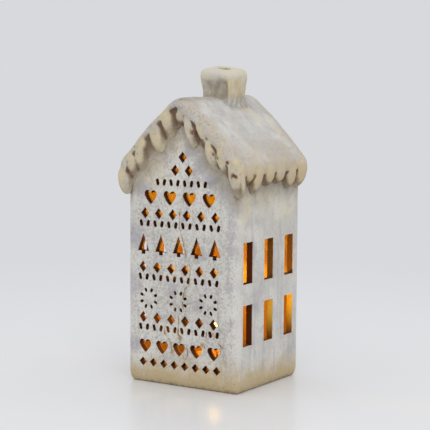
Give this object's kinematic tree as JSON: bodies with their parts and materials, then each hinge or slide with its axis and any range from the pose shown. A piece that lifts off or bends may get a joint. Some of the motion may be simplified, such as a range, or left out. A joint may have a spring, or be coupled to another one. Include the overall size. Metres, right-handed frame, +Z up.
{
  "type": "tealight house",
  "caption": "Tall gabled ceramic lantern house with folk cut-outs in the front, side windows, a drip-edged roof and a chimney flue; it lifts off a tealight that stands in its base.",
  "frame": {"origin": "centre of the footprint, on the plane the house stands on", "axes": "+Z up, -Y towards the cut-out front, +Y towards the closed rear wall, X across the front"},
  "size_m": [0.093, 0.085, 0.1981],
  "materials": {
    "whitewashed_ceramic": "matt",
    "tealight_cup": "bright rolled foil",
    "wax": "paraffin wax",
    "wick": "braided cotton, charred",
    "sustainer": "tinned"
  },
  "bodies": {
    "house": {"floor_slab": "whitewashed_ceramic", "front_wall": "whitewashed_ceramic", "rear_wall": "whitewashed_ceramic", "left_wall": "whitewashed_ceramic", "right_wall": "whitewashed_ceramic", "left_roof_slab": "whitewashed_ceramic", "right_roof_slab": "whitewashed_ceramic", "chimney_stack": "whitewashed_ceramic", "chimney_cap": "whitewashed_ceramic", "front_left_verge_drips": "whitewashed_ceramic", "front_right_verge_drips": "whitewashed_ceramic", "rear_left_verge_drips": "whitewashed_ceramic", "rear_right_verge_drips": "whitewashed_ceramic", "left_eave_drips": "whitewashed_ceramic", "right_eave_drips": "whitewashed_ceramic"},
    "tealight": {"tealight_cup": "tealight_cup", "tealight_wax": "wax", "tealight_wick": "wick", "wick_sustainer": "sustainer"}
  },
  "joints": [
    {"name": "house_lift", "type": "slide", "parent": "tealight", "child": "house", "axis": [0, 0, 1], "range_m": [0, 0.06]}
  ]
}
